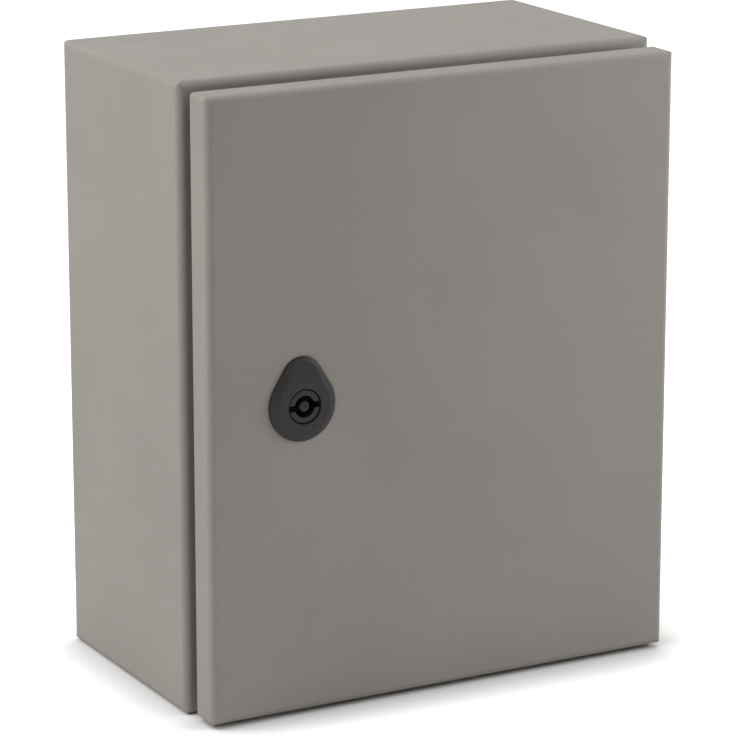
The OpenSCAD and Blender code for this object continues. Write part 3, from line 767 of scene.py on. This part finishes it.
class ENCLOSURE_OT_build_stage(bpy.types.Operator):
    """Lays the floor, with a painted contact shadow round the object, and sets up the soft studio light"""

    bl_idname = "enclosure.build_stage"
    bl_label = "Build Stage"

    def execute(self, context):
        stage = context.scene.enclosure_stage
        self.floor(context, stage)
        self.surroundings(context, stage)
        centre = (CAD_BOUNDS[0] + CAD_BOUNDS[1]) / 2
        lamps = (
            ("key_light", stage.key_power, stage.lamp_size, Vector((-1.3, 0.35, 1.25))),
            ("top_light", stage.top_power, stage.lamp_size, Vector((0.2, 0.5, 1.5))),
            ("side_light", stage.side_power, stage.side_lamp_size, Vector((0.6, -0.4, 0.28))),
        )
        for name, watts, size, offset in lamps:
            self.lamp(context, name, watts, size, centre, offset)
        return {"FINISHED"}

    def in_view(self, tree):
        """1 where a surface is seen directly, in a reflection or through glass."""
        path = tree.nodes.new("ShaderNodeLightPath")
        value = path.outputs["Is Camera Ray"]
        for name in ("Is Glossy Ray", "Is Transmission Ray"):
            joined = tree.nodes.new("ShaderNodeMath")
            joined.operation = "MAXIMUM"
            tree.links.new(value, joined.inputs[0])
            tree.links.new(path.outputs[name], joined.inputs[1])
            value = joined.outputs["Value"]
        return value

    def floor(self, context, stage):
        work = bmesh.new()
        bmesh.ops.create_grid(work, x_segments=FLOOR_ROWS, y_segments=FLOOR_ROWS, size=FLOOR_HALF)
        mesh = bpy.data.meshes.new("floor")
        work.to_mesh(mesh)
        work.free()
        floor = bpy.data.objects.new("floor", mesh)
        floor.location = (0.0, (CAD_BOUNDS[0].y + CAD_BOUNDS[1].y) / 2, CAD_BOUNDS[0].z)
        context.scene.collection.objects.link(floor)
        material = bpy.data.materials.new("floor")
        material.use_nodes = True
        tree = material.node_tree
        tree.nodes.clear()
        out = tree.nodes.new("ShaderNodeOutputMaterial")
        matt = tree.nodes.new("ShaderNodeBsdfDiffuse")
        matt.inputs["Color"].default_value = (*stage.floor, 1.0)
        lift = tree.nodes.new("ShaderNodeEmission")
        lift.inputs["Color"].default_value = (1.0, 1.0, 1.0, 1.0)
        # Painted contact shadow: ambient occlusion dims the floor's lift in view towards the object
        painted_contact_shadow = tree.nodes.new("ShaderNodeAmbientOcclusion")
        painted_contact_shadow.inputs["Distance"].default_value = stage.contact_reach
        deeper_painted_shadow = tree.nodes.new("ShaderNodeMath")
        deeper_painted_shadow.operation = "POWER"
        deeper_painted_shadow.inputs[1].default_value = CONTACT_DEPTH
        tree.links.new(painted_contact_shadow.outputs["AO"], deeper_painted_shadow.inputs[0])
        shadowed_lift = tree.nodes.new("ShaderNodeMath")
        shadowed_lift.operation = "MULTIPLY"
        shadowed_lift.inputs[1].default_value = stage.floor_lift
        tree.links.new(deeper_painted_shadow.outputs["Value"], shadowed_lift.inputs[0])
        seen = tree.nodes.new("ShaderNodeMath")
        seen.operation = "MULTIPLY"
        tree.links.new(self.in_view(tree), seen.inputs[0])
        tree.links.new(shadowed_lift.outputs["Value"], seen.inputs[1])
        tree.links.new(seen.outputs["Value"], lift.inputs["Strength"])
        both = tree.nodes.new("ShaderNodeAddShader")
        tree.links.new(matt.outputs["BSDF"], both.inputs[0])
        tree.links.new(lift.outputs["Emission"], both.inputs[1])
        tree.links.new(both.outputs["Shader"], out.inputs["Surface"])
        mesh.materials.append(material)

    def surroundings(self, context, stage):
        world = bpy.data.worlds.new("studio")
        world.use_nodes = True
        tree = world.node_tree
        tree.nodes.clear()
        out = tree.nodes.new("ShaderNodeOutputWorld")
        light = tree.nodes.new("ShaderNodeBackground")
        light.inputs["Color"].default_value = (1.0, 1.0, 1.0, 1.0)
        light.inputs["Strength"].default_value = stage.ambient
        backdrop = tree.nodes.new("ShaderNodeBackground")
        backdrop.inputs["Color"].default_value = (1.0, 1.0, 1.0, 1.0)
        backdrop.inputs["Strength"].default_value = 1.0
        choice = tree.nodes.new("ShaderNodeMixShader")
        tree.links.new(self.in_view(tree), choice.inputs["Fac"])
        tree.links.new(light.outputs["Background"], choice.inputs[1])
        tree.links.new(backdrop.outputs["Background"], choice.inputs[2])
        tree.links.new(choice.outputs["Shader"], out.inputs["Surface"])
        context.scene.world = world

    def lamp(self, context, name, watts, size, target, offset):
        data = bpy.data.lights.new(name, "AREA")
        data.energy = watts
        data.shape = "SQUARE"
        data.size = size
        lamp = bpy.data.objects.new(name, data)
        lamp.location = target + offset
        lamp.rotation_euler = (-offset).to_track_quat("-Z", "Y").to_euler()
        lamp.visible_camera = False
        context.scene.collection.objects.link(lamp)


class ENCLOSURE_OT_place_camera(bpy.types.Operator):
    """Places the camera to the left of the front, looking slightly down"""

    bl_idname = "enclosure.place_camera"
    bl_label = "Place Camera"

    def execute(self, context):
        view = context.scene.enclosure_camera
        body_low, body_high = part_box("enclosure_body")
        door_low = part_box("door_panel")[0]
        middle = Vector((
            (body_low.x + body_high.x) / 2, (door_low.y + body_high.y) / 2, (body_low.z + body_high.z) / 2
        ))
        a, e = view.azimuth, view.elevation
        right = Vector((math.cos(a), math.sin(a), 0.0))
        back = Vector((math.sin(a) * math.cos(e), -math.cos(a) * math.cos(e), math.sin(e)))
        up = back.cross(right)
        data = bpy.data.cameras.new("camera")
        data.sensor_width = 36.0
        data.lens = view.lens
        data.clip_end = 50.0
        camera = bpy.data.objects.new("camera", data)
        camera.location = middle + right * view.aim_right + up * view.aim_up + back * view.distance
        camera.rotation_euler = (-back).to_track_quat("-Z", "Y").to_euler()
        context.scene.collection.objects.link(camera)
        context.scene.camera = camera
        context.scene.view_settings.view_transform = "Standard"
        return {"FINISHED"}


OPERATORS = (
    ENCLOSURE_OT_place_camera,
    ENCLOSURE_OT_paint_sheets,
    ENCLOSURE_OT_plate_hardware,
    ENCLOSURE_OT_fit_seals,
    ENCLOSURE_OT_thread_studs,
    ENCLOSURE_OT_mould_lock,
    ENCLOSURE_OT_build_stage,
)


class ENCLOSURE_PT_dressing(bpy.types.Panel):
    """Lists the steps that dress the enclosure"""

    bl_idname = "ENCLOSURE_PT_dressing"
    bl_label = "Wall Enclosure"
    bl_space_type = "VIEW_3D"
    bl_region_type = "UI"
    bl_category = "Enclosure"

    def draw(self, context):
        for operator in OPERATORS:
            self.layout.operator(operator.bl_idname)


SETTINGS = (
    ("enclosure_paint", EnclosurePaintSettings),
    ("enclosure_metal", EnclosureMetalSettings),
    ("enclosure_seals", EnclosureSealSettings),
    ("enclosure_lock", EnclosureLockSettings),
    ("enclosure_threads", EnclosureThreadSettings),
    ("enclosure_stage", EnclosureStageSettings),
    ("enclosure_camera", EnclosureCameraSettings),
)


def register():
    for name, group in SETTINGS:
        bpy.utils.register_class(group)
        setattr(bpy.types.Scene, name, PointerProperty(type=group))
    for operator in OPERATORS:
        bpy.utils.register_class(operator)
    bpy.utils.register_class(ENCLOSURE_PT_dressing)


def unregister():
    bpy.utils.unregister_class(ENCLOSURE_PT_dressing)
    for operator in reversed(OPERATORS):
        bpy.utils.unregister_class(operator)
    for name, group in reversed(SETTINGS):
        delattr(bpy.types.Scene, name)
        bpy.utils.unregister_class(group)


def main():
    register()
    bpy.ops.enclosure.place_camera()
    bpy.ops.enclosure.paint_sheets()
    bpy.ops.enclosure.plate_hardware()
    bpy.ops.enclosure.fit_seals()
    bpy.ops.enclosure.thread_studs()
    bpy.ops.enclosure.mould_lock()
    bpy.ops.enclosure.build_stage()


if __name__ == "__main__":
    main()
